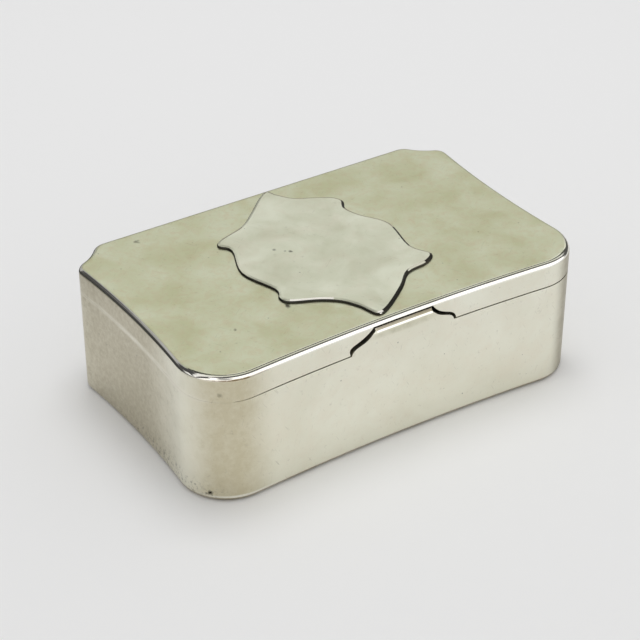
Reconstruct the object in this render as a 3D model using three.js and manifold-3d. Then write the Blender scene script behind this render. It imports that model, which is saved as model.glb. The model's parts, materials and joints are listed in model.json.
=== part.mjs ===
// A silver snuff box: a bowed body with canted back corners, and a lid with a raised
// plate that turns on a flush tube hinge along the back.
// Millimetres, +Z up, +Y to the hinge. The origin is the middle of the base.

import * as THREE from 'three';
import { mergeVertices } from 'three/addons/utils/BufferGeometryUtils.js';
import Module from 'manifold-3d';

const wasm = await Module();
wasm.setup();

// Plan: overall size, rounds, and how far the sides are bowed in

const LENGTH = 65;
const DEPTH = 40.7;
const FRONT_BOW = 0.88;
const END_BOW = 0.64;
const FRONT_CORNER_RADIUS = 7.2;
const TIP_RADIUS = 2.2;
const TIP_SETBACK = 5.3;
const SHOULDER_RADIUS = 2.6;
const SHOULDER_SETBACK = 6.3;
const CANT_RADIUS = 8.2;

// Heights and sheet thicknesses

const BASE_THICKNESS = 1;
const BASE_EDGE_RADIUS = 0.8;
const WALL_HEIGHT = 15.8;
const WALL_THICKNESS = 0.8;
const SEAM_GAP = 0.15;
const RIM_HEIGHT = 3.35;
const RIM_THICKNESS = 0.8;
const LID_TOP_THICKNESS = 0.55;
const LID_EDGE_RADIUS = 0.9;

// Tab on the front wall, with its lip, and the notch for it in the lid's rim

const TAB_HEIGHT = 2.7;
const TAB_TOP_WIDTH = 9.6;
const TAB_FOOT_WIDTH = 17.4;
const FLANK_FOOT_LEAN = 0.4;
const FLANK_FOOT_RISE = 1.7;
const FLANK_TOP_LEAN = 1.4;
const FLANK_TOP_DROP = 2.3;
const LIP_WIDTH = 9.2;
const LIP_REACH = 0.4;
const LIP_EDGE = 0.25;
const LIP_CHAMFER = 0.2;
const LIP_HOLLOW = 1.4;
const LIP_ROOT = 0.4;
const NOTCH_GAP = 0.4;
const NOTCH_RISE = 0.35;
const CREST_GAP = 0.48;

// Bezel: the inner lip that the lid closes over

const BEZEL_THICKNESS = 0.6;
const BEZEL_RISE = 1.2;
const BEZEL_DROP = 3.5;
const BEZEL_GAP = 0.3;

// Hinge: soldered beds, a row of tubes and one pin with its end plugs

const KNUCKLE_COUNT = 7;
const KNUCKLE_RADIUS = 1.3;
const KNUCKLE_GAP = 0.15;
const PIN_RADIUS = 0.5;
const PIN_CLEARANCE = 0.08;
const HINGE_CLEARANCE = 0.3;
const BED_WALL = 0.6;
const BED_FOOT = 2;
const SOLDER_GAP = 0.05;

// Raised plate on the lid

const PLATE_THICKNESS = 0.4;
const PLATE_BEVEL = 0.2;
const PLATE_WIDTH = 26;
const PLATE_LEFT_SHIFT = 0.75;
const PLATE_FRONT_MARGIN = 0.7;
const PLATE_BACK_MARGIN = 0.1;

// The plate's hand-cut outline, clockwise from its back tip, in shares of half its width and half its length

const PLATE_OUTLINE_SHARES = [
  [0.18, 1], [0.24, 0.91], [0.36, 0.79], [0.56, 0.71], [0.74, 0.635], [0.815, 0.535], [0.745, 0.42],
  [0.8, 0.275], [0.98, 0.03], [0.895, -0.34], [1, -0.525], [0.835, -0.615], [0.565, -0.65], [0.325, -0.8],
  [-0.035, -0.98], [-0.205, -1], [-0.28, -0.845], [-0.39, -0.71], [-0.57, -0.61], [-0.865, -0.51],
  [-0.92, -0.42], [-0.865, -0.3], [-1, 0.03], [-0.85, 0.355], [-0.93, 0.47], [-0.835, 0.545],
  [-0.505, 0.625], [-0.28, 0.745], [0.03, 0.945],
];

// Facets

const BOW_FACETS = 8;
const CORNER_FACETS = 8;
const SMALL_ROUND_FACETS = 5;
const EDGE_FACETS = 4;
const TUBE_FACETS = 24;
const GROOVE_FACETS = 48;
const PLATE_KNOT_FACETS = 4;

// Levels and places that follow from the sizes above

const wallTop = BASE_THICKNESS + WALL_HEIGHT;
const rimBottom = wallTop + SEAM_GAP;
const rimTop = rimBottom + RIM_HEIGHT;
const lidTop = rimTop + LID_TOP_THICKNESS;
const tabTop = wallTop + TAB_HEIGHT;
const crestTop = rimTop - CREST_GAP;
const frontFace = -DEPTH / 2 + FRONT_BOW;
const hingeY = DEPTH / 2 - KNUCKLE_RADIUS;
const hingeZ = wallTop + SEAM_GAP / 2;
const grooveRadius = KNUCKLE_RADIUS + HINGE_CLEARANCE;
const shoulderX = LENGTH / 2 - SHOULDER_SETBACK;
const hingeSpan = 2 * (shoulderX + SHOULDER_RADIUS);

// Finishes

const silver = { color: 0xcbc6b3, roughness: 0.32, metalness: 1 };
const lidSilver = { color: 0xb9bb97, roughness: 0.36, metalness: 1 };
const plateSilver = { color: 0xc9cbb5, roughness: 0.34, metalness: 1 };
const hingeSilver = { color: 0xb4ae9c, roughness: 0.4, metalness: 1 };
const brass = { color: 0xb08d4a, roughness: 0.45, metalness: 1 };

// Plan outline: arcs that meet in tangents, drawn anticlockwise from the front

// Centre of the circle that touches two rounds from outside, on the side away from the box
function outerCentre(from, fromRadius, to, toRadius, radius) {
  const a = fromRadius + radius;
  const b = toRadius + radius;
  const line = to.clone().sub(from);
  const span = line.length();
  const along = (span * span + a * a - b * b) / (2 * span);
  const across = Math.sqrt(a * a - along * along);
  line.normalize();
  const side = new THREE.Vector2(line.y, -line.x);
  return from.clone().addScaledVector(line, along).addScaledVector(side, across);
}

function arcPoints(centre, radius, start, end, clockwise, facets) {
  const arc = new THREE.EllipseCurve(centre.x, centre.y, radius, radius, start, end, clockwise);
  return arc.getPoints(facets);
}

function towards(from, to) {
  return Math.atan2(to.y - from.y, to.x - from.x);
}

// Right half of the outline, as a list of arcs, set in from the outer face by inset
function rightHalf(inset) {
  const corner = new THREE.Vector2(LENGTH / 2 - FRONT_CORNER_RADIUS, FRONT_CORNER_RADIUS - DEPTH / 2);
  const tip = new THREE.Vector2(LENGTH / 2 - TIP_RADIUS, DEPTH / 2 - TIP_SETBACK);
  const shoulder = new THREE.Vector2(shoulderX, DEPTH / 2 - SHOULDER_RADIUS);

  const frontReach = (corner.x ** 2 + FRONT_BOW ** 2) / (2 * FRONT_BOW);
  const frontRadius = frontReach - FRONT_CORNER_RADIUS;
  const front = new THREE.Vector2(0, frontFace - frontRadius);

  const span = tip.y - corner.y;
  const lower = (span + (2 * END_BOW * (FRONT_CORNER_RADIUS - TIP_RADIUS)) / span) / 2;
  const endRadius = (lower ** 2 + END_BOW ** 2) / (2 * END_BOW) - FRONT_CORNER_RADIUS;
  const end = new THREE.Vector2(LENGTH / 2 - END_BOW + endRadius, corner.y + lower);

  const cant = outerCentre(tip, TIP_RADIUS, shoulder, SHOULDER_RADIUS, CANT_RADIUS);
  const up = Math.PI / 2;
  return {
    front: arcPoints(front, frontRadius + inset, up, towards(front, corner), true, BOW_FACETS / 2),
    corner: arcPoints(corner, FRONT_CORNER_RADIUS - inset,
      towards(corner, front), towards(corner, end), false, CORNER_FACETS),
    end: arcPoints(end, endRadius + inset,
      towards(end, corner) + 2 * Math.PI, towards(end, tip), true, BOW_FACETS),
    tip: arcPoints(tip, TIP_RADIUS - inset,
      towards(tip, end), towards(tip, cant), false, SMALL_ROUND_FACETS),
    cant: arcPoints(cant, CANT_RADIUS + inset,
      towards(cant, tip) + 2 * Math.PI, towards(cant, shoulder) + 2 * Math.PI, true, SMALL_ROUND_FACETS),
    shoulder: arcPoints(shoulder, SHOULDER_RADIUS - inset,
      towards(shoulder, cant), up, false, SMALL_ROUND_FACETS),
  };
}

// Points of several arcs in a row, with each shared end point kept once
function joined(arcs) {
  const points = [];
  for (const arc of arcs) {
    const fresh = points.length ? arc.slice(1) : arc;
    points.push(...fresh);
  }
  return points;
}

function mirrored(points) {
  return points.map((point) => new THREE.Vector2(-point.x, point.y)).reverse();
}

function outline(inset) {
  const half = rightHalf(inset);
  const right = joined([half.front, half.corner, half.end, half.tip, half.cant, half.shoulder]);
  return [...right, ...mirrored(right).slice(0, -1)];
}

// Outline of the strip that runs along the front and both ends only
function frontAndEnds(inset) {
  const half = rightHalf(inset);
  const right = joined([half.front, half.corner, half.end]);
  return [...mirrored(right).slice(0, -1), ...right];
}

// Solids lofted through rings of the same number of points

function ring(points, height) {
  return points.map((point) => new THREE.Vector3(point.x, point.y, height));
}

function capTriangles(points, first, facesUp) {
  const flat = points.map((point) => new THREE.Vector2(point.x, point.y));
  const faces = THREE.ShapeUtils.triangulateShape(flat, []);
  const turned = facesUp ? faces : faces.map((face) => face.toReversed());
  return turned.flat().map((corner) => first + corner);
}

function lofted(rings, closed) {
  const count = rings[0].length;
  const index = [];
  const steps = closed ? rings.length : rings.length - 1;
  for (let step = 0; step < steps; step += 1) {
    const low = step * count;
    const high = ((step + 1) % rings.length) * count;
    for (let i = 0; i < count; i += 1) {
      const j = (i + 1) % count;
      index.push(low + i, low + j, high + j, low + i, high + j, high + i);
    }
  }
  if (!closed) {
    index.push(...capTriangles(rings[0], 0, false));
    index.push(...capTriangles(rings[rings.length - 1], (rings.length - 1) * count, true));
  }
  const geometry = new THREE.BufferGeometry().setFromPoints(rings.flat());
  geometry.setIndex(index);
  return geometry;
}

function prism(inset, low, high) {
  return lofted([ring(outline(inset), low), ring(outline(inset), high)], false);
}

function band(outerInset, innerInset, low, high) {
  const outer = outline(outerInset);
  const inner = outline(innerInset);
  return lofted([ring(outer, low), ring(outer, high), ring(inner, high), ring(inner, low)], true);
}

// Extrusions along the box's own axes

function extruded(shape, depth, facets) {
  return new THREE.ExtrudeGeometry(shape, { depth, bevelEnabled: false, curveSegments: facets });
}

// A profile drawn in Y and Z, run along X
function runAlongX(shape, length, facets) {
  const across = new THREE.Vector3(0, 1, 0);
  const upwards = new THREE.Vector3(0, 0, 1);
  const along = new THREE.Vector3(1, 0, 0);
  const turn = new THREE.Matrix4().makeBasis(across, upwards, along);
  return extruded(shape, length, facets).translate(0, 0, -length / 2).applyMatrix4(turn);
}

// A profile drawn in X and Z, run from the front (low) to the back (high) along Y
function runAlongY(shape, low, high, facets) {
  const geometry = extruded(shape, high - low, facets).rotateX(Math.PI / 2);
  return geometry.translate(0, high, 0);
}

// Joins and cuts

function solid(geometry) {
  const bare = geometry.clone();
  bare.deleteAttribute('normal');
  bare.deleteAttribute('uv');
  const merged = mergeVertices(bare);
  const vertProperties = new Float32Array(merged.attributes.position.array);
  const triVerts = new Uint32Array(merged.index.array);
  return new wasm.Manifold(new wasm.Mesh({ numProp: 3, vertProperties, triVerts }));
}

function geometryOf(body) {
  const mesh = body.getMesh();
  const geometry = new THREE.BufferGeometry();
  geometry.setAttribute('position', new THREE.BufferAttribute(mesh.vertProperties, 3));
  geometry.setIndex(new THREE.BufferAttribute(mesh.triVerts, 1));
  return geometry;
}

// Profiles of the tab and of the notch round it

function flankedProfile(path, gap, foot, top) {
  const footHalf = TAB_FOOT_WIDTH / 2 + gap;
  const topHalf = TAB_TOP_WIDTH / 2 + gap;
  path.lineTo(-footHalf, foot);
  path.bezierCurveTo(-footHalf + FLANK_FOOT_LEAN, foot + FLANK_FOOT_RISE,
    -topHalf - FLANK_TOP_LEAN, top - FLANK_TOP_DROP, -topHalf, top);
  path.lineTo(topHalf, top);
  path.bezierCurveTo(topHalf + FLANK_TOP_LEAN, top - FLANK_TOP_DROP,
    footHalf - FLANK_FOOT_LEAN, foot + FLANK_FOOT_RISE, footHalf, foot);
}

// Everything above the wall's top edge except the tab
function aboveWallProfile() {
  const shape = new THREE.Shape();
  shape.moveTo(-LENGTH, wallTop);
  flankedProfile(shape, 0, wallTop, tabTop);
  shape.lineTo(LENGTH, wallTop);
  shape.lineTo(LENGTH, lidTop);
  shape.lineTo(-LENGTH, lidTop);
  shape.closePath();
  return shape;
}

function notchProfile() {
  const footHalf = TAB_FOOT_WIDTH / 2 + NOTCH_GAP;
  const shape = new THREE.Shape();
  shape.moveTo(-footHalf, wallTop - SEAM_GAP);
  flankedProfile(shape, NOTCH_GAP, wallTop + NOTCH_RISE, rimTop + SEAM_GAP);
  shape.lineTo(footHalf, wallTop - SEAM_GAP);
  shape.closePath();
  return shape;
}

// The lip that curls out of the tab's top edge, hollowed underneath, with a slope up to a crest behind it
function lipProfile() {
  const shape = new THREE.Shape();
  shape.moveTo(frontFace + LIP_ROOT, crestTop);
  shape.lineTo(frontFace - LIP_REACH + LIP_CHAMFER, tabTop);
  shape.lineTo(frontFace - LIP_REACH, tabTop - LIP_EDGE);
  shape.quadraticCurveTo(frontFace, tabTop - LIP_EDGE, frontFace, tabTop - LIP_HOLLOW);
  shape.lineTo(frontFace + LIP_ROOT, tabTop - LIP_HOLLOW);
  shape.closePath();
  return shape;
}

// Room for the hinge tubes: a round groove with the wall behind it cut away
function hingeRelief() {
  const length = 2 * LENGTH;
  const groove = new THREE.CylinderGeometry(grooveRadius, grooveRadius, length, GROOVE_FACETS);
  groove.rotateZ(Math.PI / 2).translate(0, hingeY, hingeZ);
  const slot = new THREE.BoxGeometry(length, DEPTH, 2 * grooveRadius);
  slot.translate(0, hingeY + DEPTH / 2, hingeZ);
  return solid(groove).add(solid(slot));
}

// Body pieces

function baseGeometry() {
  const rings = [];
  for (let step = 0; step <= EDGE_FACETS; step += 1) {
    const angle = (step / EDGE_FACETS) * (Math.PI / 2);
    const inset = BASE_EDGE_RADIUS * (1 - Math.sin(angle));
    rings.push(ring(outline(inset), BASE_EDGE_RADIUS * (1 - Math.cos(angle))));
  }
  rings.push(ring(outline(0), BASE_THICKNESS));
  return lofted(rings, false);
}

function wallGeometry() {
  const blank = solid(band(0, WALL_THICKNESS, BASE_THICKNESS, tabTop));
  const overlap = WALL_THICKNESS;
  const frontWaste = solid(runAlongY(aboveWallProfile(), -DEPTH, overlap, EDGE_FACETS * 2));
  const backBox = new THREE.BoxGeometry(2 * LENGTH, DEPTH, lidTop - wallTop);
  backBox.translate(0, DEPTH / 2, (lidTop + wallTop) / 2);
  const lip = solid(runAlongX(lipProfile(), LIP_WIDTH, EDGE_FACETS));
  const trimmed = blank.subtract(frontWaste).subtract(solid(backBox)).subtract(hingeRelief());
  return geometryOf(trimmed.add(lip));
}

function bezelGeometry() {
  const outerInset = Math.max(WALL_THICKNESS, RIM_THICKNESS) + BEZEL_GAP;
  const outer = frontAndEnds(outerInset);
  const inner = frontAndEnds(outerInset + BEZEL_THICKNESS);
  const shape = new THREE.Shape([...outer, ...inner.reverse()]);
  const height = BEZEL_RISE + BEZEL_DROP;
  return extruded(shape, height, 1).translate(0, 0, wallTop - BEZEL_DROP);
}

// Lid pieces

// Inset of the lid's rounded edge at an angle above its side
function edgeInset(angle) {
  return LID_EDGE_RADIUS * (1 - Math.cos(angle));
}

function edgeLevel(angle) {
  return lidTop - LID_EDGE_RADIUS + LID_EDGE_RADIUS * Math.sin(angle);
}

// Angle of the rounded edge at which the top sheet meets the rim
const sheetAngle = Math.asin(Math.max(0, LID_EDGE_RADIUS - LID_TOP_THICKNESS) / LID_EDGE_RADIUS);

function lidTopGeometry() {
  const rings = [ring(outline(edgeInset(sheetAngle)), rimTop)];
  for (let step = 1; step <= EDGE_FACETS; step += 1) {
    const angle = sheetAngle + (step / EDGE_FACETS) * (Math.PI / 2 - sheetAngle);
    rings.push(ring(outline(edgeInset(angle)), edgeLevel(angle)));
  }
  return lofted(rings, false);
}

function rimGeometry() {
  const outer = outline(0);
  const inner = outline(RIM_THICKNESS);
  const edgeStart = Math.min(edgeLevel(0), rimTop - SEAM_GAP);
  const rings = [
    ring(outer, rimBottom),
    ring(outer, edgeStart),
    ring(outline(edgeInset(sheetAngle)), rimTop),
    ring(inner, rimTop),
    ring(inner, rimBottom),
  ];
  const notch = solid(runAlongY(notchProfile(), -DEPTH, 0, EDGE_FACETS * 2));
  return geometryOf(solid(lofted(rings, true)).subtract(notch).subtract(hingeRelief()));
}

function plateGeometry() {
  const front = frontFace + LID_EDGE_RADIUS + PLATE_FRONT_MARGIN;
  const back = DEPTH / 2 - LID_EDGE_RADIUS - PLATE_BACK_MARGIN;
  const knots = PLATE_OUTLINE_SHARES.map(([x, y]) => new THREE.Vector3(
    (x * PLATE_WIDTH) / 2 - PLATE_LEFT_SHIFT,
    (front + back) / 2 + (y * (back - front)) / 2,
    0,
  ));
  const curve = new THREE.CatmullRomCurve3(knots, true, 'catmullrom');
  const edge = curve.getPoints(knots.length * PLATE_KNOT_FACETS).slice(0, -1).reverse();
  const bevelled = edge.map((point, i) => {
    const before = edge[(i + edge.length - 1) % edge.length];
    const after = edge[(i + 1) % edge.length];
    const along = after.clone().sub(before).normalize();
    return new THREE.Vector2(point.x - along.y * PLATE_BEVEL, point.y + along.x * PLATE_BEVEL);
  });
  const plateTop = lidTop + PLATE_THICKNESS;
  return lofted([ring(edge, lidTop), ring(edge, plateTop - PLATE_BEVEL), ring(bevelled, plateTop)], false);
}

// Hinge pieces

const outerPrism = solid(prism(0, 0, lidTop));
const innerPrism = solid(prism(Math.max(WALL_THICKNESS, RIM_THICKNESS) + SOLDER_GAP, 0, lidTop));

// A bed inside the back wall, with its groove for the tubes: side is -1 below the seam, 1 above it
function bedGeometry(side, far) {
  const back = KNUCKLE_RADIUS - Math.max(WALL_THICKNESS, RIM_THICKNESS) - SOLDER_GAP;
  const front = -grooveRadius - BED_WALL;
  const near = SEAM_GAP / 2;
  const start = Math.acos(back / grooveRadius) * side;
  const end = (Math.PI - Math.asin(near / grooveRadius)) * side;
  const shape = new THREE.Shape();
  shape.absarc(0, 0, grooveRadius, start, end, side < 0);
  shape.lineTo(front, near * side);
  shape.lineTo(front, (far - (side < 0 ? BED_FOOT : 0)) * side);
  shape.lineTo(back, far * side);
  shape.closePath();
  const bar = runAlongX(shape, hingeSpan, CORNER_FACETS).translate(0, hingeY, hingeZ);
  return geometryOf(solid(bar).intersect(innerPrism));
}

function knuckleGeometry(number) {
  const pitch = hingeSpan / KNUCKLE_COUNT;
  const half = (pitch - KNUCKLE_GAP) / 2;
  const bore = PIN_RADIUS + PIN_CLEARANCE;
  const profile = [
    new THREE.Vector2(bore, -half),
    new THREE.Vector2(KNUCKLE_RADIUS, -half),
    new THREE.Vector2(KNUCKLE_RADIUS, half),
    new THREE.Vector2(bore, half),
    new THREE.Vector2(bore, -half),
  ];
  const tube = new THREE.LatheGeometry(profile, TUBE_FACETS, Math.PI / TUBE_FACETS);
  tube.rotateZ(Math.PI / 2).translate((number - (KNUCKLE_COUNT - 1) / 2) * pitch, hingeY, hingeZ);
  return geometryOf(solid(tube).intersect(outerPrism));
}

function pinGeometry() {
  const pin = new THREE.CylinderGeometry(PIN_RADIUS, PIN_RADIUS, 2 * shoulderX, TUBE_FACETS);
  return pin.rotateZ(Math.PI / 2).translate(0, hingeY, hingeZ);
}

function plugGeometry(side) {
  const start = shoulderX + SOLDER_GAP;
  const length = hingeSpan / 2 - start;
  const plug = new THREE.CylinderGeometry(PIN_RADIUS, PIN_RADIUS, length, TUBE_FACETS);
  plug.rotateZ(Math.PI / 2).translate(side * (start + length / 2), hingeY, hingeZ);
  return geometryOf(solid(plug).intersect(outerPrism));
}

// Assembly

const snuffBox = new THREE.Group();
const body = new THREE.Group();
const lid = new THREE.Group();
snuffBox.add(body, lid);

function place(group, name, geometry, finish) {
  const mesh = new THREE.Mesh(geometry, new THREE.MeshStandardMaterial(finish));
  mesh.name = name;
  group.add(mesh);
}

place(body, 'base_plate', baseGeometry(), silver);
place(body, 'body_wall', wallGeometry(), silver);
place(body, 'body_bezel', bezelGeometry(), silver);
place(body, 'body_hinge_bed', bedGeometry(-1, grooveRadius + BED_WALL + BED_FOOT), hingeSilver);

place(lid, 'lid_top', lidTopGeometry(), lidSilver);
place(lid, 'lid_rim', rimGeometry(), silver);
place(lid, 'cartouche_plate', plateGeometry(), plateSilver);
place(lid, 'lid_hinge_bed', bedGeometry(1, rimTop - SOLDER_GAP - hingeZ), hingeSilver);

for (let number = 0; number < KNUCKLE_COUNT; number += 1) {
  const onBody = number % 2 === 0;
  const name = `${onBody ? 'body' : 'lid'}_knuckle_${number + 1}`;
  place(onBody ? body : lid, name, knuckleGeometry(number), hingeSilver);
}

place(body, 'hinge_pin', pinGeometry(), brass);
place(body, 'pin_plug_left', plugGeometry(-1), hingeSilver);
place(body, 'pin_plug_right', plugGeometry(1), hingeSilver);

export default snuffBox;
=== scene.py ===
"""Looks of a silver snuff box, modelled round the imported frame.

Sizes are in millimetres until one of Blender's tools takes them.
"""
import json
import logging
import math
from collections.abc import Callable, Sequence
from dataclasses import dataclass, field
from enum import Enum
from typing import Any

import bmesh
import bpy
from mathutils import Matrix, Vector


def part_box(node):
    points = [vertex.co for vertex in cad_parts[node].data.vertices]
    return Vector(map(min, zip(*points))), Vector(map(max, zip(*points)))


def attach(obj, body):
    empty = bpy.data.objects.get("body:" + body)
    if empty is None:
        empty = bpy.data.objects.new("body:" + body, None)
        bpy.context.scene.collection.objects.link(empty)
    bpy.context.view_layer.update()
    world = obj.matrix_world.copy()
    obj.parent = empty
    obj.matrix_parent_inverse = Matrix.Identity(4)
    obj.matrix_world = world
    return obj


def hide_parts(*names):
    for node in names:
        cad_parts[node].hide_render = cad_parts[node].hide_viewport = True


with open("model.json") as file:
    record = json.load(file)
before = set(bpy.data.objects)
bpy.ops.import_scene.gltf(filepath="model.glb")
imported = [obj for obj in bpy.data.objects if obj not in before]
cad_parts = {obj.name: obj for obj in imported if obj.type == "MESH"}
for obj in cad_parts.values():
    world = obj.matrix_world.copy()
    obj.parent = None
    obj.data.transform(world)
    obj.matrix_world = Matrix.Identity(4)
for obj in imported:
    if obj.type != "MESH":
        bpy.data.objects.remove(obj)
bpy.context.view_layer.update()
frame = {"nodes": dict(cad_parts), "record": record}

log = logging.getLogger("snuff_box")

# Takes the middle and normal of a face, or the two ends of an edge, with places in millimetres
Test = Callable[[Vector, Vector], bool]

MM = 0.001
MERGE_MM = 0.002
SMOOTH_ANGLE = math.radians(32.0)
# Two levels closer than this are one level
HAIR_MM = 0.01
# A face looks along an axis where this much of its normal does
FACING = 0.9
# An edge that turns by more than this angle, in radians, is a corner of its piece
CORNER = 0.9
# A face looks inwards where its normal times its place, in millimetres from the middle, is below this
INWARD = -0.2
# Chords across a small eased edge
EASED = 3


def metres(*values: float) -> tuple[float, ...]:
    """Turns millimetres into metres."""
    return tuple(value * MM for value in values)


def linear(colour: str) -> tuple[float, float, float, float]:
    """Turns an sRGB hex colour into the linear colour that a shader takes.

    Args:
        colour: six hex digits after a hash sign.

    Returns:
        Red, green, blue and an alpha of one.
    """
    shares = [int(colour[i:i + 2], 16) / 255 for i in (1, 3, 5)]
    red, green, blue = (s / 12.92 if s <= 0.04045 else ((s + 0.055) / 1.055) ** 2.4 for s in shares)
    return red, green, blue, 1.0


def per_mm(size: float) -> float:
    """Texture scale at which one feature of a pattern is this many millimetres wide."""
    return 1 / (size * MM)


def add_node(
    tree: bpy.types.NodeTree, kind: str, inputs: dict[Any, Any] | None = None, **settings: Any,
) -> bpy.types.Node:
    """Adds a node, sets its properties and sets or links its inputs.

    Args:
        tree: the node tree that takes it.
        kind: the node's type.
        inputs: a value or an output socket for each input, by name or by number.
        settings: the node's own properties.

    Returns:
        The new node.
    """
    node = tree.nodes.new(kind)
    for name, value in settings.items():
        setattr(node, name, value)
    for name, value in (inputs or {}).items():
        if isinstance(value, bpy.types.NodeSocket):
            tree.links.new(value, node.inputs[name])
        else:
            node.inputs[name].default_value = value
    return node


class Corner(Enum):
    """The two corners of a CAD node's box."""

    LOWEST = 0
    HIGHEST = 1


def level(node: str, corner: Corner) -> float:
    """Height in millimetres of the lowest or highest corner of a CAD node."""
    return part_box(node)[corner.value][2] / MM


def everywhere(middle: Vector, normal: Vector) -> bool:
    """Test that every face passes."""
    return True


def inwards(middle: Vector, normal: Vector) -> bool:
    """Test for the upright faces that look into the box."""
    return middle.x * normal.x + middle.y * normal.y < INWARD


# Bench


class Joint(Enum):
    """Ways of working one solid with another."""

    CUT = "DIFFERENCE"
    TRIM = "INTERSECT"


class Axis(Enum):
    """Axes that a piece is bored along."""

    X = 0
    Z = 2


def clear_bench() -> None:
    """Leaves edit mode and deselects everything."""
    if bpy.context.object and bpy.context.object.mode == "EDIT":
        bpy.ops.object.mode_set(mode="OBJECT")
    bpy.ops.object.select_all(action="DESELECT")


class Workpiece:
    """A piece on the bench: one mesh shaped with Blender's own edit tools, with its sizes in millimetres."""

    def __init__(self, name: str) -> None:
        """Takes the primitive that was just added, applies its place and opens it for work.

        Args:
            name: the piece's name.
        """
        bpy.ops.object.transform_apply(location=True, rotation=True, scale=True)
        self.obj: bpy.types.Object = bpy.context.object
        self.obj.name = name
        self.obj.data.name = name
        self.enter()

    @classmethod
    def point(cls, name: str, x: float, y: float, z: float) -> "Workpiece":
        """Starts a piece as one point, drawn down from a small plane, for the spins and extrusions to follow.

        Args:
            name: the piece's name.
            x, y, z: the point's place.

        Returns:
            The new piece, in edit mode with its point selected.
        """
        clear_bench()
        bpy.ops.mesh.primitive_plane_add(size=MM, location=metres(x, y, z))
        piece = cls(name)
        bpy.ops.mesh.select_mode(type="VERT")
        bpy.ops.mesh.select_all(action="SELECT")
        bpy.ops.mesh.merge(type="CENTER")
        return piece

    @classmethod
    def rod(
        cls, name: str, radius: float, length: float, middle: Sequence[float], facets: int,
    ) -> "Workpiece":
        """Starts a piece as a rod along X.

        Args:
            name: the piece's name.
            radius, length: the rod's size.
            middle: the place of its middle.
            facets: the number of its sides.

        Returns:
            The new piece, in edit mode.
        """
        clear_bench()
        bpy.ops.mesh.primitive_cylinder_add(
            vertices=facets, radius=radius * MM, depth=length * MM,
            location=metres(*middle), rotation=(0.0, math.pi / 2, 0.0),
        )
        return cls(name)

    def enter(self) -> None:
        """Makes this the one piece that is selected and open in edit mode."""
        if bpy.context.object == self.obj and self.obj.mode == "EDIT":
            return
        self.leave()
        bpy.ops.object.mode_set(mode="EDIT")

    def leave(self) -> None:
        """Leaves edit mode with this the one selected piece."""
        clear_bench()
        self.obj.select_set(True)
        bpy.context.view_layer.objects.active = self.obj

    def arc(
        self, centre: Sequence[float], turn: float, steps: int, axis: Sequence[float] = (0, 0, 1),
    ) -> None:
        """Carries the selected point along an arc.

        Args:
            centre: the arc's centre.
            turn: the angle in radians, anticlockwise about the axis.
            steps: the number of chords.
            axis: the direction of the axis.
        """
        bpy.ops.mesh.spin(steps=steps, angle=-turn, center=metres(*centre), axis=axis)

    def extrude(self, x: float, y: float, z: float) -> None:
        """Extrudes what is selected by this much."""
        bpy.ops.mesh.extrude_region_move(TRANSFORM_OT_translate={"value": metres(x, y, z)})

    def trace(self, points: Sequence[Sequence[float]]) -> None:
        """Carries the selected point along a path, from the path's first point on."""
        for here, there in zip(points, points[1:]):
            self.extrude(*(b - a for a, b in zip(here, there)))

    def mirror(self) -> None:
        """Adds the mirrored left half to a right half."""
        self.leave()
        half = self.obj.modifiers.new("left_half", "MIRROR")
        half.merge_threshold = MERGE_MM * MM
        bpy.ops.object.modifier_apply(modifier=half.name)
        self.enter()

    def fill(self) -> None:
        """Closes the drawn outline with one face."""
        bpy.ops.mesh.select_all(action="SELECT")
        bpy.ops.mesh.edge_face_add()

    def true_up(self) -> None:
        """Merges doubled points and turns every face outwards."""
        self.enter()
        bpy.ops.mesh.select_all(action="SELECT")
        bpy.ops.mesh.remove_doubles(threshold=MERGE_MM * MM)
        bpy.ops.mesh.normals_make_consistent(inside=False)

    def pick_faces(self, test: Test) -> None:
        """Selects the faces that pass a test.

        Args:
            test: takes a face's middle and normal.
        """
        self.enter()
        bpy.ops.mesh.select_mode(type="FACE")
        bpy.ops.mesh.select_all(action="DESELECT")
        shape = bmesh.from_edit_mesh(self.obj.data)
        shape.normal_update()
        for face in shape.faces:
            face.select_set(test(face.calc_center_median() / MM, face.normal))
        bmesh.update_edit_mesh(self.obj.data)

    def pick_edges(self, test: Test, sharp: float = 0.0) -> None:
        """Selects the edges that pass a test.

        Args:
            test: takes an edge's two ends.
            sharp: where it isn't zero, only outer edges that turn by more than this angle, in radians.
        """
        self.enter()
        bpy.ops.mesh.select_mode(type="EDGE")
        bpy.ops.mesh.select_all(action="DESELECT")
        shape = bmesh.from_edit_mesh(self.obj.data)
        shape.normal_update()
        for edge in shape.edges:
            turns = sharp == 0.0 or (edge.is_convex and edge.calc_face_angle(0.0) > sharp)
            edge.select_set(turns and test(edge.verts[0].co / MM, edge.verts[1].co / MM))
        bmesh.update_edit_mesh(self.obj.data)

    def move_points(self, place: Callable[[Vector], Vector]) -> None:
        """Moves every point.

        Args:
            place: takes a point and gives its new place, both in millimetres.
        """
        self.enter()
        shape = bmesh.from_edit_mesh(self.obj.data)
        for point in shape.verts:
            point.co = place(point.co / MM) * MM
        bmesh.update_edit_mesh(self.obj.data)

    def bevel(self, width: float, segments: int) -> None:
        """Rounds the selected edges."""
        bpy.ops.mesh.bevel(
            offset=width * MM, segments=segments, profile=0.5, affect="EDGES", clamp_overlap=True,
        )

    def inset(self, width: float, rise: float = 0.0, each: bool = False) -> None:
        """Insets the selected faces.

        Args:
            width: how far inside their edges.
            rise: how far the inner faces move along their normals.
            each: True where every face is inset by itself.
        """
        bpy.ops.mesh.inset(thickness=width * MM, depth=rise * MM, use_even_offset=True, use_individual=each)

    def mark_border(self) -> None:
        """Keeps the border of the selected faces crisp when the piece is shaded smooth."""
        bpy.ops.mesh.region_to_loop()
        bpy.ops.mesh.mark_sharp()

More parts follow.
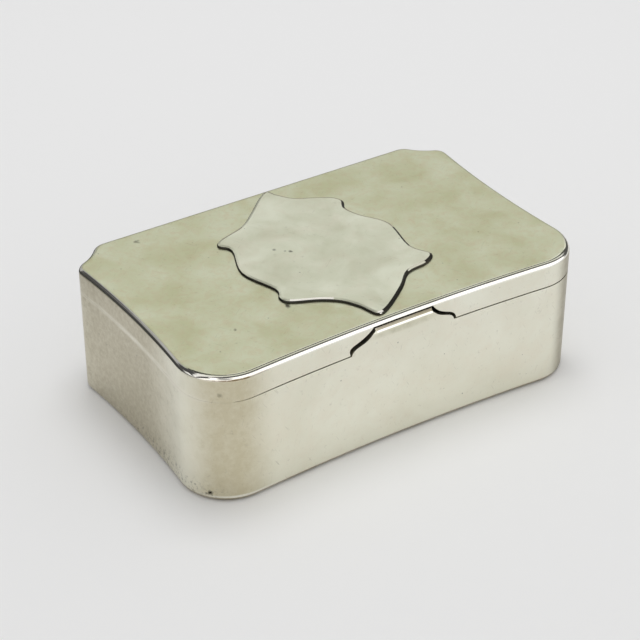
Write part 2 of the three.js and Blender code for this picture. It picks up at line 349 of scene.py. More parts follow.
    def hollow(self, wall: float, along: Axis) -> None:
        """Bores through from end to end and leaves a wall.

        Args:
            wall: the wall's thickness.
            along: the axis that it is bored along.
        """
        self.true_up()
        self.pick_faces(lambda middle, normal: abs(normal[along.value]) > FACING)
        self.inset(wall, each=True)
        bpy.ops.mesh.bridge_edge_loops()

    def scale_x(self, factor: float) -> None:
        """Narrows what is selected towards the middle of the box."""
        bpy.ops.transform.resize(value=(factor, 1.0, 1.0), center_override=(0.0, 0.0, 0.0))

    def slice_off(self, y: float) -> None:
        """Cuts off all that lies behind a plane across the box and closes the cut.

        Args:
            y: the plane's place.
        """
        self.enter()
        bpy.ops.mesh.select_all(action="SELECT")
        bpy.ops.mesh.bisect(plane_co=metres(0, y, 0), plane_no=(0, 1, 0), use_fill=True, clear_outer=True)

    def work_with(self, tool: "Workpiece", joint: Joint) -> None:
        """Cuts or trims this piece with a tool, which is then thrown away.

        Args:
            tool: the solid that works this one.
            joint: the way of working.
        """
        tool.true_up()
        self.true_up()
        self.leave()
        step = self.obj.modifiers.new("joint", "BOOLEAN")
        step.object = tool.obj
        step.operation = joint.value
        step.solver = "EXACT"
        bpy.ops.object.modifier_apply(modifier=step.name)
        bpy.data.objects.remove(tool.obj)

    def copy(self, name: str, shift: float) -> "Workpiece":
        """Copies the piece along X, with a mesh of its own.

        Args:
            name: the copy's name.
            shift: how far along X.

        Returns:
            The copy, as a piece on the bench.
        """
        self.leave()
        bpy.ops.object.duplicate(linked=False)
        bpy.context.object.location.x = shift * MM
        return Workpiece(name)

    def finish(self) -> None:
        """Trues the piece up and shades it smooth, with its sharp edges kept and its flat faces flat."""
        self.true_up()
        bpy.ops.mesh.select_all(action="DESELECT")
        self.leave()
        bpy.ops.object.shade_smooth_by_angle(angle=SMOOTH_ANGLE)
        shading = self.obj.modifiers.new("flat_faces", "WEIGHTED_NORMAL")
        shading.keep_sharp = True
        bpy.ops.object.modifier_apply(modifier=shading.name)

    def dress(self, *layers: tuple[bpy.types.Material, Test]) -> None:
        """Gives each face the last material whose test it passes.

        Args:
            layers: a material with the test that takes a face's middle and normal.
        """
        mesh = self.obj.data
        mesh.materials.clear()
        for number, (material, test) in enumerate(layers):
            mesh.materials.append(material)
            for face in mesh.polygons:
                if test(face.center / MM, face.normal):
                    face.material_index = number

    def settle(self, body: str, slot: str, *nodes: str) -> None:
        """Puts the piece on its body, in place of its CAD nodes.

        Args:
            body: the body that it moves with.
            slot: the record's material slot; not used.
            nodes: the CAD nodes that it stands for.
        """
        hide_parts(*nodes)
        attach(self.obj, body)
        faces = len(self.obj.data.polygons)
        log.info("%s: %d faces, on %s, for %s", self.obj.name, faces, body, ", ".join(nodes))


# Finishes

# A noise texture's values crowd round one half, so each pattern takes its own span of them
CLOUD_SPAN = (0.36, 0.68)
GLOSS_SPAN = (0.3, 0.7)
BLUSH_SPAN = (0.45, 0.75)
SPECK_SPAN = (0.62, 0.85)
SCRATCH_SPAN = (0.72, 0.84)
GRAIN_SPAN = (0.38, 0.62)
# The waves' noise reaches over about a quarter of its range
WAVE_GAIN = 4
# Ways that the two sets of hairlines run, in radians, and how far each tilts to cross every face
SCRATCH_TURNS = (0.5, -0.9)
SCRATCH_TILT = (0.6, 0.4, 1.0)


@dataclass(frozen=True)
class WearAndLightPatch:
    """A patch of heavier tarnish, of bright wear, or of painted shade or light, with a ragged edge.

    It is full within the inner distance of its middle and ends at the outer one. The weights say how much
    each axis counts in that distance, so that a patch can be upright or a long stripe. The cover says how
    much of the patch shows in the hollows and on the crests of its grain.
    """

    colour: str
    middle: tuple[float, float, float]
    inner: float
    outer: float
    weights: tuple[float, float, float] = (1.0, 1.0, 0.0)
    ragged: float = 4.0
    grain: float = 1.6
    cover: tuple[float, float] = (0.55, 1.15)


@dataclass(frozen=True)
class Pit:
    """One pit or stain with a place of its own, from faint (0) to black (1)."""

    x: float
    y: float
    z: float
    size: float
    depth: float
    ragged: float = 0.9
    core: float = 0.55


@dataclass(frozen=True)
class WornMetal:
    """Metal that was worked by hand, polished and then carried for years.

    The eye sees a soft broad gloss under a thin cloud of tarnish that leans to olive or to rose, faint waves
    from the hammer, hairline scratches and a few pits. Its patches also paint in shade and highlights.
    """

    name: str
    clean: str
    tarnished: str
    rose: str
    stain: str
    gloss: tuple[float, float] = (0.29, 0.4)
    cloud_mm: float = 12.0
    blush_mm: float = 4.5
    blush_share: float = 0.5
    # Real specks of dirt are under 0.1 mm, too fine to show, so they are drawn coarser
    speck_mm: float = 0.8
    speck_share: float = 0.4
    # Real hairlines are about 0.02 mm wide, too fine to show, so they are drawn wider
    scratch_width_mm: float = 0.14
    scratch_length_mm: float = 5.0
    scratch_share: float = 0.3
    wear_dulls: float = 0.2
    # Real pin-holes are about 0.1 mm, too fine to show, so they are drawn coarser
    pit_mm: float = 0.3
    pit_spacing_mm: float = 3.0
    pit_core: float = 0.6
    pit_share: float = 0.4
    mark_grain_mm: float = 0.5
    wave_mm: float = 13.0
    wave_depth_mm: float = 0.02
    marks: tuple[Pit, ...] = ()
    pit_colour: str = "#3b372f"
    patches: tuple[WearAndLightPatch, ...] = ()

    def material(self) -> bpy.types.Material:
        """Builds the node tree: layers of colour from the clean metal up, its gloss and its waves.

        Returns:
            The material.
        """
        made = bpy.data.materials.new(self.name)
        made.use_nodes = True
        tree = made.node_tree
        shader = tree.nodes["Principled BSDF"]
        coords = add_node(tree, "ShaderNodeTexCoord").outputs["Object"]
        cloud = add_node(tree, "ShaderNodeTexNoise", {
            "Vector": coords, "Scale": per_mm(self.cloud_mm),
            "Detail": 5.0, "Roughness": 0.6, "Distortion": 0.4,
        }).outputs["Fac"]
        tarnish = add_node(tree, "ShaderNodeMapRange", {
            "Value": cloud, "From Min": CLOUD_SPAN[0], "From Max": CLOUD_SPAN[1],
        }).outputs["Result"]
        mottle = add_node(tree, "ShaderNodeTexNoise", {
            "Vector": coords, "Scale": per_mm(self.blush_mm),
            "Detail": 6.0, "Roughness": 0.68, "Distortion": 0.8,
        }).outputs["Fac"]
        blush = add_node(tree, "ShaderNodeMapRange", {
            "Value": mottle, "From Min": BLUSH_SPAN[0], "From Max": BLUSH_SPAN[1], "To Max": self.blush_share,
        }).outputs["Result"]
        specks = add_node(tree, "ShaderNodeTexNoise", {
            "Vector": coords, "Scale": per_mm(self.speck_mm), "Detail": 3.0, "Roughness": 0.7,
        }).outputs["Fac"]
        dust = add_node(tree, "ShaderNodeMapRange", {
            "Value": specks, "From Min": SPECK_SPAN[0], "From Max": SPECK_SPAN[1], "To Max": self.speck_share,
        }).outputs["Result"]
        wear = add_node(tree, "ShaderNodeMath", {
            0: dust, 1: self.scratches(tree, coords),
        }, operation="MAXIMUM").outputs[0]
        layers = [(tarnish, self.tarnished), (blush, self.rose)]
        layers += [(self.wear_and_light_share(tree, coords, mottle, patch), patch.colour) for patch in self.patches]
        layers += [(wear, self.stain), (self.pits(tree, coords), self.pit_colour)]
        colour: Any = linear(self.clean)
        for share, over in layers:
            colour = add_node(tree, "ShaderNodeMix", {
                0: share, 6: colour, 7: linear(over),
            }, data_type="RGBA").outputs[2]
        rough = add_node(tree, "ShaderNodeMapRange", {
            "Value": cloud, "From Min": GLOSS_SPAN[0], "From Max": GLOSS_SPAN[1],
            "To Min": self.gloss[0], "To Max": self.gloss[1],
        }).outputs["Result"]
        rough = add_node(tree, "ShaderNodeMath", {
            0: wear, 1: self.wear_dulls, 2: rough,
        }, operation="MULTIPLY_ADD").outputs[0]
        waves = add_node(tree, "ShaderNodeTexNoise", {
            "Vector": coords, "Scale": per_mm(self.wave_mm), "Detail": 1.0,
        }).outputs["Fac"]
        bump = add_node(tree, "ShaderNodeBump", {
            "Height": waves, "Strength": 1.0, "Distance": self.wave_depth_mm * MM * WAVE_GAIN,
        }).outputs["Normal"]
        tree.links.new(colour, shader.inputs["Base Color"])
        tree.links.new(rough, shader.inputs["Roughness"])
        tree.links.new(bump, shader.inputs["Normal"])
        shader.inputs["Metallic"].default_value = 1.0
        return made

    def scratches(self, tree: bpy.types.NodeTree, coords: bpy.types.NodeSocket) -> bpy.types.NodeSocket:
        """Draws two crossing sets of hairlines.

        Args:
            tree: the material's node tree.
            coords: the Object coordinates.

        Returns:
            The socket with the hairlines, from 0 beside a scratch to the scratch share in it.
        """
        sets = []
        for turn in SCRATCH_TURNS:
            stretched = add_node(tree, "ShaderNodeMapping", {
                "Vector": coords, "Rotation": tuple(turn * tilt for tilt in SCRATCH_TILT),
                "Scale": metres(self.scratch_width_mm, self.scratch_length_mm, self.scratch_length_mm / 3),
            }, vector_type="TEXTURE").outputs["Vector"]
            sets.append(add_node(tree, "ShaderNodeTexNoise", {
                "Vector": stretched, "Scale": 1.0, "Detail": 1.0,
            }).outputs["Fac"])
        strongest = add_node(tree, "ShaderNodeMath", {0: sets[0], 1: sets[1]}, operation="MAXIMUM").outputs[0]
        return add_node(tree, "ShaderNodeMapRange", {
            "Value": strongest, "From Min": SCRATCH_SPAN[0], "From Max": SCRATCH_SPAN[1],
            "To Max": self.scratch_share,
        }).outputs["Result"]

    def pits(self, tree: bpy.types.NodeTree, coords: bpy.types.NodeSocket) -> bpy.types.NodeSocket:
        """Scatters small pits, and adds the dark marks that have a place of their own.

        Args:
            tree: the material's node tree.
            coords: the Object coordinates.

        Returns:
            The socket with the pits, 1 in a black pit and 0 beside it.
        """
        edge = self.pit_mm / self.pit_spacing_mm / 2
        scattered = add_node(tree, "ShaderNodeTexVoronoi", {
            "Vector": coords, "Scale": per_mm(self.pit_spacing_mm),
        }).outputs["Distance"]
        found = add_node(tree, "ShaderNodeMapRange", {
            "Value": scattered, "From Min": edge * self.pit_core, "From Max": edge,
            "To Min": self.pit_share, "To Max": 0.0,
        }).outputs["Result"]
        ragged = add_node(tree, "ShaderNodeTexNoise", {
            "Vector": coords, "Scale": per_mm(self.mark_grain_mm), "Detail": 2.0,
        }).outputs["Fac"]
        for pit in self.marks:
            away = add_node(tree, "ShaderNodeVectorMath", {
                0: coords, 1: metres(pit.x, pit.y, pit.z),
            }, operation="DISTANCE").outputs["Value"]
            away = add_node(tree, "ShaderNodeMath", {
                0: ragged, 1: pit.size * pit.ragged * MM, 2: away,
            }, operation="MULTIPLY_ADD").outputs[0]
            mark = add_node(tree, "ShaderNodeMapRange", {
                "Value": away, "From Min": pit.size * pit.core * MM, "From Max": pit.size * MM,
                "To Min": pit.depth, "To Max": 0.0,
            }).outputs["Result"]
            found = add_node(tree, "ShaderNodeMath", {0: found, 1: mark}, operation="MAXIMUM").outputs[0]
        return found

    def wear_and_light_share(
        self, tree: bpy.types.NodeTree, coords: bpy.types.NodeSocket, mottle: bpy.types.NodeSocket,
        patch: WearAndLightPatch,
    ) -> bpy.types.NodeSocket:
        """Lays out one patch of wear, tarnish, painted shade or painted highlight.

        Args:
            tree: the material's node tree.
            coords: the Object coordinates.
            mottle: a noise that breaks up the patch's edge.
            patch: the patch.

        Returns:
            The socket with the patch, from 0 beside it to 1 where it covers.
        """
        weighted = add_node(tree, "ShaderNodeVectorMath", {
            0: coords, 1: patch.weights,
        }, operation="MULTIPLY").outputs["Vector"]
        middle = [place * weight for place, weight in zip(patch.middle, patch.weights)]
        away = add_node(tree, "ShaderNodeVectorMath", {
            0: weighted, 1: metres(*middle),
        }, operation="DISTANCE").outputs["Value"]
        away = add_node(tree, "ShaderNodeMath", {
            0: mottle, 1: patch.ragged * MM, 2: away,
        }, operation="MULTIPLY_ADD").outputs[0]
        share = add_node(tree, "ShaderNodeMapRange", {
            "Value": away, "From Min": (patch.inner + patch.ragged / 2) * MM,
            "From Max": (patch.outer + patch.ragged / 2) * MM, "To Min": 1.0, "To Max": 0.0,
        }, interpolation_type="SMOOTHSTEP").outputs["Result"]
        grain = add_node(tree, "ShaderNodeTexNoise", {
            "Vector": coords, "Scale": per_mm(patch.grain), "Detail": 6.0, "Roughness": 0.75,
        }).outputs["Fac"]
        thick = add_node(tree, "ShaderNodeMapRange", {
            "Value": grain, "From Min": GRAIN_SPAN[0], "From Max": GRAIN_SPAN[1],
            "To Min": patch.cover[0], "To Max": patch.cover[1],
        }).outputs["Result"]
        return add_node(tree, "ShaderNodeMath", {
            0: share, 1: thick,
        }, operation="MULTIPLY", use_clamp=True).outputs[0]


@dataclass
class Finishes:
    """The box's materials, each made once."""

    side: bpy.types.Material
    lid: bpy.types.Material
    plate: bpy.types.Material
    dark: bpy.types.Material
    inside: bpy.types.Material
    hinge: bpy.types.Material
    edge: bpy.types.Material
    shoulder: bpy.types.Material
    pin: bpy.types.Material


def build_finishes(lid_top: float, plate_top: float) -> Finishes:
    """Makes the box's materials, each with its colours clean, tarnished, rosy and stained.

    Args:
        lid_top: the level of the lid's top sheet, where its marks lie.
        plate_top: the level of the raised plate's top, where its marks lie.

    Returns:
        The materials.
    """
    # Sheet silver, rolled, planished and polished, then worn pale by hands: a warm white with a soft gloss.
    # It is darker towards both front corners, stained darker over the left end, partly as painted shade
    # there, and crusted low on that end. Painted shade lies under the tab's lip, painted highlights lie at
    # the foot of the near corner and along the seam on the left end, and the solder line shows black pits.
    side = WornMetal(
        "handled_sheet_silver", "#f3f2e3", "#ecead9", "#ebe4d2", "#857f70", speck_share=0.35,
        pit_colour="#1d1b16",
        patches=(
            WearAndLightPatch("#cfc7ac", (-28.5, -19.3, 0.0), 1.0, 8.0, grain=1.4, cover=(0.8, 1.08)),
            # Stain over the left end, partly real and partly painted shade
            WearAndLightPatch("#c0b9a4", (-38.0, 5.0, 0.0), 8.0, 21.0, ragged=8.0, grain=0.8, cover=(0.75, 1.08)),
            WearAndLightPatch("#a09984", (30.0, -18.5, 0.0), 0.8, 4.2, ragged=1.0, cover=(0.85, 1.0)),
            # Painted shade on the tab's face, in the hollow under its lip
            WearAndLightPatch(
                "#d6d3be", (0.0, -19.5, 18.6), 0.3, 1.1, (0.13, 0.2, 1.4), ragged=0.6, cover=(0.5, 1.0),
            ),
            # Painted highlight along the foot of the near corner
            WearAndLightPatch(
                "#fbfaf0", (-27.0, -18.9, 0.8), 0.2, 0.9, (0.12, 0.12, 2.5), ragged=0.4, cover=(0.8, 1.0),
            ),
            # Painted highlight along the seam on the left end
            WearAndLightPatch("#efebdd", (-34.0, -3.0, 16.85), 0.2, 1.4, (0.2, 0.05, 2.0), ragged=1.0),
            WearAndLightPatch(
                "#554e3c", (-32.3, -6.0, 0.3), 0.0, 8.0, (1.0, 0.4, 1.7), grain=0.6, cover=(-1.6, 0.95),
            ),
        ),
        marks=(
            Pit(-30.77, -17.81, 1.35, 0.9, 1.0),
            Pit(-31.19, -17.27, 1.17, 0.5, 0.8),
            Pit(-32.25, -15.02, 2.06, 0.4, 0.6),
            Pit(-32.02, -15.72, 2.08, 0.35, 0.6),
            Pit(-29.46, -19.03, 18.0, 0.75, 0.4),
        ),
    )
    # The same sheet under a thin even film of sulphide: a soft olive with small rosy clouds and fine dirt
    lid = WornMetal(
        "olive_tarnished_silver", "#cacdb2", "#c6c7a2", "#c6b999", "#86846a", cloud_mm=6.5, blush_mm=1.3,
        blush_share=0.6, speck_mm=0.45, speck_share=0.5, wave_depth_mm=0.0015,
        marks=(
            Pit(-21.94, 17.43, lid_top, 1.0, 0.7),
            Pit(-21.8, -10.3, lid_top, 0.6, 0.8),
            Pit(-12.5, -9.05, lid_top, 1.2, 0.9),
        ),
    )
    # Sheet silver, sawn out, soldered on and cleaned more often than the lid: lighter, smooth and nearly flat
    plate = WornMetal(
        "soldered_plate_silver", "#dadcc8", "#ced0b7", "#d2c8b3", "#86846f", cloud_mm=6.0, blush_share=0.35,
        speck_share=0.3, wave_depth_mm=0.0015,
        marks=(
            Pit(-6.56, 4.05, plate_top, 0.65, 0.55),
            Pit(-5.44, 2.85, plate_top, 0.4, 0.5),
            Pit(-4.86, 2.38, plate_top, 0.75, 1.0),
        ),
    )
    # Near black with a low shine: painted shade on the tab's crest under the lid and on the bezel behind the
    # tab, and on the raised plate's sides, partly tarnish in the angle and partly painted shade
    dark = WornMetal(
        "tarnish_and_painted_shade", "#4a4840", "#302f2a", "#3a322c", "#201f1c", gloss=(0.35, 0.5),
    )
    # Sheet silver as it came from the hammer, never polished: grey, cloudy and dull. It also gives painted
    # shade on the base's rounded underside and on the raised plate's edges that face away
    inside = WornMetal(
        "unpolished_silver_and_painted_shade", "#c9c3b3", "#aea690", "#b5a488", "#6b6556", gloss=(0.36, 0.5),
    )
    # Silver tube and strip, drawn through a plate: even, and a little darker than the sides
    hinge = WornMetal(
        "drawn_silver_tube", "#d2ccbb", "#b3ab98", "#b8a993", "#5f594d", gloss=(0.3, 0.44),
    )
    # Silver edges that pocket and hand have burnished: a mirror that draws the room as crisp light and dark
    # lines, with a brown line under the lid's near edge that is a painted reflection
    edge = WornMetal(
        "burnished_edge_silver", "#f1efe8", "#e6e4da", "#e4ddd0", "#8d877a", gloss=(0.07, 0.11),
        speck_share=0.15,
        # A brown line under the highlight at the lid's near corner, painted in as a reflection
        patches=(WearAndLightPatch("#6f5a3c", (-27.0, -18.9, 20.28), 0.3, 1.0, (0.14, 0.14, 4.5), ragged=0.4),),
    )
    # Tarnished silver burnished on the turn of the lid and the plate: a mirror with a trace of olive
    shoulder = WornMetal(
        "burnished_olive_silver", "#d6d7c6", "#c8c9b4", "#cdc5b2", "#8a886f", gloss=(0.07, 0.1),
        speck_share=0.2,
    )
    # Brass wire, drawn and left bare: yellow going brown, with a low shine
    pin = WornMetal(
        "drawn_brass_wire", "#b8964f", "#8f7239", "#9a6f42", "#5a4524", gloss=(0.35, 0.5),
    )
    made = (side, lid, plate, dark, inside, hinge, edge, shoulder, pin)
    return Finishes(*(finish.material() for finish in made))


# Plan and tab


@dataclass
class Tab:
    """Front tab on the wall, with ogee flanks and a small lip, and the lid's notch that it stands in.

    It is drawn 0.2 mm taller than the solid, with a slope behind its lip that rises to a crest.
    """

    height: float = 2.9
    top_width: float = 9.6
    foot_width: float = 17.4
    foot_lean: float = 0.4
    foot_rise: float = 1.7
    top_lean: float = 1.4
    top_drop: float = 2.3
    lip_reach: float = 0.4
    lip_edge: float = 0.25
    lip_chamfer: float = 0.2
    lip_hollow: float = 1.4
    lip_root: float = 0.15
    lip_crest: float = 0.29
    lip_end: float = 0.99
    notch_gap: float = 0.3
    notch_rise: float = 0.35
    notch_wear: float = 0.85
    notch_drop: float = 1.0
    notch_depth: float = 2.0
    notch_steps: int = 20
    steps: int = 14
    halvings: int = 40

    def flank(self, share: float, low: float, high: float) -> tuple[float, float]:
        """A point of the right flank's curve.

        Args:
            share: how far along the curve, from 0 at the foot to 1 at the top.
            low, high: the levels of foot and top.

        Returns:
            Half the width, and the level.
        """
        foot, top = self.foot_width / 2, self.top_width / 2
        corners = (
            Vector((foot, low)), Vector((foot - self.foot_lean, low + self.foot_rise)),
            Vector((top + self.top_lean, high - self.top_drop)), Vector((top, high)),
        )
        rest = 1 - share
        weights = (rest ** 3, 3 * share * rest ** 2, 3 * share ** 2 * rest, share ** 3)
        return tuple(sum((corner * weight for corner, weight in zip(corners, weights)), Vector((0.0, 0.0))))

    def share_at(self, z: float, low: float, high: float) -> float:
        """Finds by halving where the flank's curve reaches a level.

        Args:
            z: the level.
            low, high: the levels of foot and top.

        Returns:
            How far along the curve, from 0 at the foot to 1 at the top.
        """
        before, after = 0.0, 1.0
        for _ in range(self.halvings):
            middle = (before + after) / 2
            if self.flank(middle, low, high)[1] < z:
                before = middle
            else:
                after = middle
        return before

    def lip(self, drop: float) -> float:
        """The lip's profile.

        Args:
            drop: the distance below the tab's top.

        Returns:
            How far the lip stands out there.
        """
        if drop <= self.lip_edge:
            return self.lip_reach - self.lip_chamfer * (1 - drop / self.lip_edge)
        along = min(1.0, math.sqrt((drop - self.lip_edge) / (self.lip_hollow - self.lip_edge)))
        return self.lip_reach * (1 - along) ** 2


@dataclass
class Plan:
    """Plan of the box: bowed front and ends, round front corners, and canted back corners of three arcs."""

    tab: Tab = field(default_factory=Tab)
    length: float = 65.0
    depth: float = 40.7
    wall: float = 0.8
    seam_gap: float = 0.15
    front_bow: float = 0.88
    end_bow: float = 0.64
    corner_radius: float = 7.2
    tip_radius: float = 2.2
    tip_setback: float = 5.3
    shoulder_radius: float = 2.6
    shoulder_setback: float = 6.3
    cant_radius: float = 8.2
    # The seam is shut left of the first place, and opens from there to the second
    tight_x: tuple[float, float] = (-28.0, -20.0)
    # Chords of the six arcs from front to back, and of the front where the tab's hem, lip and foot end
    arc_steps: tuple[int, ...] = (12, 16, 20, 10, 12, 12)
    tab_shares: tuple[float, ...] = (0.92, 0.965, 1.0)
    tab_steps: tuple[int, ...] = (8, 1, 1)

    def __post_init__(self) -> None:
        """Works out the arcs' centres and radii, from the middle of the front round to the back."""
        half, back = self.length / 2, self.depth / 2
        corner = Vector((half - self.corner_radius, self.corner_radius - back))
        tip = Vector((half - self.tip_radius, back - self.tip_setback))
        shoulder = Vector((half - self.shoulder_setback, back - self.shoulder_radius))
        self.front_y = self.front_bow - back
        self.front_radius = (corner.x ** 2 + self.front_bow ** 2) / (2 * self.front_bow) - self.corner_radius
        front = Vector((0.0, self.front_y - self.front_radius))
        span = tip.y - corner.y
        lower = (span + 2 * self.end_bow * (self.corner_radius - self.tip_radius) / span) / 2
        end_radius = (lower ** 2 + self.end_bow ** 2) / (2 * self.end_bow) - self.corner_radius
        end = Vector((half - self.end_bow + end_radius, corner.y + lower))
        cant = self.cant_centre(tip, shoulder)
        self.end_of_ends = (tip + (end - tip).normalized() * self.tip_radius).y
        self.centres = [front, corner, end, tip, cant, shoulder]

    def cant_centre(self, tip: Vector, shoulder: Vector) -> Vector:
        """Centre of the hollow arc that touches two rounds from outside.

        Args:
            tip: the centre of the tip's round.
            shoulder: the centre of the shoulder's round.

        Returns:
            The arc's centre.
        """
        near = self.tip_radius + self.cant_radius
        far = self.shoulder_radius + self.cant_radius
        line = shoulder - tip
        along = (line.length_squared + near ** 2 - far ** 2) / (2 * line.length)
        across = math.sqrt(near ** 2 - along ** 2)
        unit = line.normalized()
        return tip + unit * along + Vector((unit.y, -unit.x)) * across

    def front_at(self, x: float, inset: float = 0.0) -> float:
        """Y of the front face at x, set in by inset."""
        reach = self.front_radius + inset
        return self.front_y - self.front_radius + math.sqrt(reach ** 2 - x ** 2)

    def turned(self, way: Vector, angle: float) -> Vector:
        """Turns a direction in the plan, anticlockwise."""
        cosine, sine = math.cos(angle), math.sin(angle)
        return Vector((way.x * cosine - way.y * sine, way.x * sine + way.y * cosine))

    def blank(self, name: str, low: float, high: float, inset: float = 0.0) -> Workpiece:
        """Draws the plan arc by arc, mirrors it, fills it and raises it to a block.

        Args:
            name: the piece's name.
            low, high: the block's lower and upper faces.
            inset: how far its side lies inside the plan.

        Returns:
            The block, in edit mode.
        """
        work = Workpiece.point(name, 0.0, self.front_y + inset, low)
        start = 0.0
        for share, steps in zip(self.tab_shares, self.tab_steps):
            stop = math.asin(share * self.tab.foot_width / 2 / self.front_radius)
            work.arc((*self.centres[0], low), start - stop, steps)
            start = stop
        straight_back = Vector((0.0, 1.0))
        last = len(self.centres) - 1
        for number, centre in enumerate(self.centres):
            before = self.centres[number - 1] - centre if number else self.turned(straight_back, -start)
            after = self.centres[number + 1] - centre if number < last else straight_back
            work.arc((*centre, low), -before.angle_signed(after), self.arc_steps[number])
        work.extrude(-self.centres[last].x, 0.0, 0.0)
        work.mirror()
        work.fill()
        work.extrude(0.0, 0.0, high - low)
        work.true_up()
        return work


# Sub-assemblies


@dataclass
class Body:
    """Base plate, wall with its tab, and the inner bezel."""

    plan: Plan
    base_edge: float = 0.8
    base_facets: int = 8
    underside: float = -0.1
    # Faces of the base whose normal points down further than this are dull grey as painted shade at its foot
    soft_edge: float = 0.13
    # The tab's flanks turn into its faces by less than a true corner
    tab_corner: float = 0.6
    slope_tilt: tuple[float, float] = (-0.1, 0.3)
    lip_tilt: tuple[float, float] = (0.1, 0.8)
    crest_tilt: float = 0.95
    bezel_thickness: float = 0.6
    bezel_gap: float = 0.3
    bezel_edge: float = 0.2
    # How far beside the tab, and how far forward a normal looks, where the bezel is painted near black as
    # shade
    gap_shade_reach: float = 1.0
    gap_shade_tilt: float = -0.5

    def __post_init__(self) -> None:
        """Reads the levels from the frame."""
        self.tab = self.plan.tab
        self.base_top = level("base_plate", Corner.HIGHEST)
        self.wall_top = level("lid_rim", Corner.LOWEST) - self.plan.seam_gap
        self.tab_top = self.wall_top + self.tab.height
        self.crest_top = self.tab_top + self.tab.lip_crest

    def build_base(self) -> Workpiece:
        """Models the base plate, with its lower edge filed round.

        Returns:
            The finished plate.
        """
        work = self.plan.blank("base_sheet", 0.0, self.base_top)
        work.pick_edges(lambda a, b: max(a.z, b.z) < HAIR_MM)
        work.bevel(self.base_edge, self.base_facets)
        work.finish()
        return work

    def build_wall(self, relief: Workpiece) -> Workpiece:
        """Models the wall and raises the tab from its front edge.

        Args:
            relief: the tool that clears room for the hinge.

        Returns:
            The finished wall.
        """
        def under_tab(middle: Vector, normal: Vector) -> bool:
            """Test for the wall's top edge where the tab rises."""
            return normal.z > FACING and middle.y < 0 and abs(middle.x) < self.tab.foot_width / 2

        def softened(a: Vector, b: Vector) -> bool:
            """Test for the top edges right of where the lid lies tight."""
            return min(a.z, b.z) > self.wall_top - HAIR_MM and min(a.x, b.x) > self.plan.tight_x[0]

        work = self.plan.blank("wall_strip", self.base_top, self.wall_top)
        work.hollow(self.plan.wall, Axis.Z)
        work.pick_faces(under_tab)
        width, height = self.tab.foot_width / 2, self.wall_top
        brink = self.tab.share_at(self.tab_top - self.tab.lip_edge, self.wall_top, self.tab_top)
        for share in sorted([brink, *((step + 1) / self.tab.steps for step in range(self.tab.steps))]):
            new_width, new_height = self.tab.flank(share, self.wall_top, self.tab_top)
            work.extrude(0.0, 0.0, new_height - height)
            work.scale_x(new_width / width)
            width, height = new_width, new_height
        work.extrude(0.0, 0.0, self.crest_top - self.tab_top)
        work.move_points(self.bend_tab)
        work.true_up()
        work.work_with(relief, Joint.CUT)
        work.pick_edges(softened, sharp=self.tab_corner)
        work.bevel(self.soft_edge, EASED)
        work.finish()
        return work

    def bend_tab(self, point: Vector) -> Vector:
        """Lays the tab on the bowed front, pulls out its lip and slopes the lip's top up to a crest.

        Args:
            point: a point of the wall.

        Returns:
            Its new place, which is the old one below the tab.
        """
        if point.z < self.wall_top + HAIR_MM:
            return point
        inner = self.plan.front_at(point.x, self.plan.wall)
        outer = self.plan.front_at(point.x)
        if point.y > (inner + outer) / 2:
            return Vector((point.x, inner, point.z))
        if point.z > self.tab_top + HAIR_MM:
            return Vector((point.x, outer + self.tab.lip_root, point.z))
        within = self.share_across(point) < self.tab.lip_end
        lip = self.tab.lip(self.tab_top - point.z) if within else 0.0
        return Vector((point.x, outer - lip, point.z))

    def share_across(self, point: Vector) -> float:
        """How far a point lies from the tab's middle, as a share of the tab's half width at that level."""
        share = self.tab.share_at(point.z, self.wall_top, self.tab_top)
        return abs(point.x) / self.tab.flank(share, self.wall_top, self.tab_top)[0]

    def on_slope(self, middle: Vector, normal: Vector) -> bool:
        """Test for the slope behind the lip, dressed dull grey."""
        tilted = normal.y < self.slope_tilt[0] and normal.z > self.slope_tilt[1]
        return tilted and middle.z > self.tab_top + 2 * HAIR_MM

    def on_lip(self, middle: Vector, normal: Vector) -> bool:
        """Test for the lip's burnished edge.

        Args:
            middle, normal: the face's.

        Returns:
            True on that edge.
        """
        out = self.plan.front_at(middle.x) - middle.y
        near = abs(middle.z - self.tab_top) < self.tab.lip_edge + 5 * HAIR_MM
        return near and out > self.tab.lip_reach / 2 and self.lip_tilt[0] < normal.z < self.lip_tilt[1]

    def on_crest(self, middle: Vector, normal: Vector) -> bool:
        """Test for the tab's level crest, in the lid's shadow."""
        return middle.z > self.crest_top - 5 * HAIR_MM and normal.z > self.crest_tilt

    def behind_tab(self, middle: Vector, normal: Vector) -> bool:
        """Test for the bezel's outer face behind the tab, painted near black as shade in the gap."""
        return abs(middle.x) < self.tab.foot_width / 2 + self.gap_shade_reach and normal.y < self.gap_shade_tilt

    def build_bezel(self) -> Workpiece:
        """Models the strip inside the front and the ends that the lid closes over.

        Returns:
            The finished strip.
        """
        low, high = level("body_bezel", Corner.LOWEST), level("body_bezel", Corner.HIGHEST)
        work = self.plan.blank("bezel_strip", low, high, self.plan.wall + self.bezel_gap)
        work.hollow(self.bezel_thickness, Axis.Z)
        work.slice_off(self.plan.end_of_ends)
        work.true_up()
        work.pick_edges(lambda a, b: min(a.z, b.z) > high - HAIR_MM, sharp=CORNER)
        work.bevel(self.bezel_edge, EASED)
        work.finish()
        return work

    def build(self, finishes: Finishes, relief: Workpiece) -> None:
        """Builds and dresses the body's pieces.

        Args:
            finishes: the box's materials.
            relief: the tool that clears room for the hinge.
        """
        base = self.build_base()
        # The base's rounded underside is dull grey as painted shade where it meets the floor
        base.dress(
            (finishes.side, everywhere),
            (finishes.inside, lambda middle, normal: normal.z > FACING or normal.z < self.underside),
        )
        base.settle("box", "body_silver", "base_plate")
        wall = self.build_wall(relief)
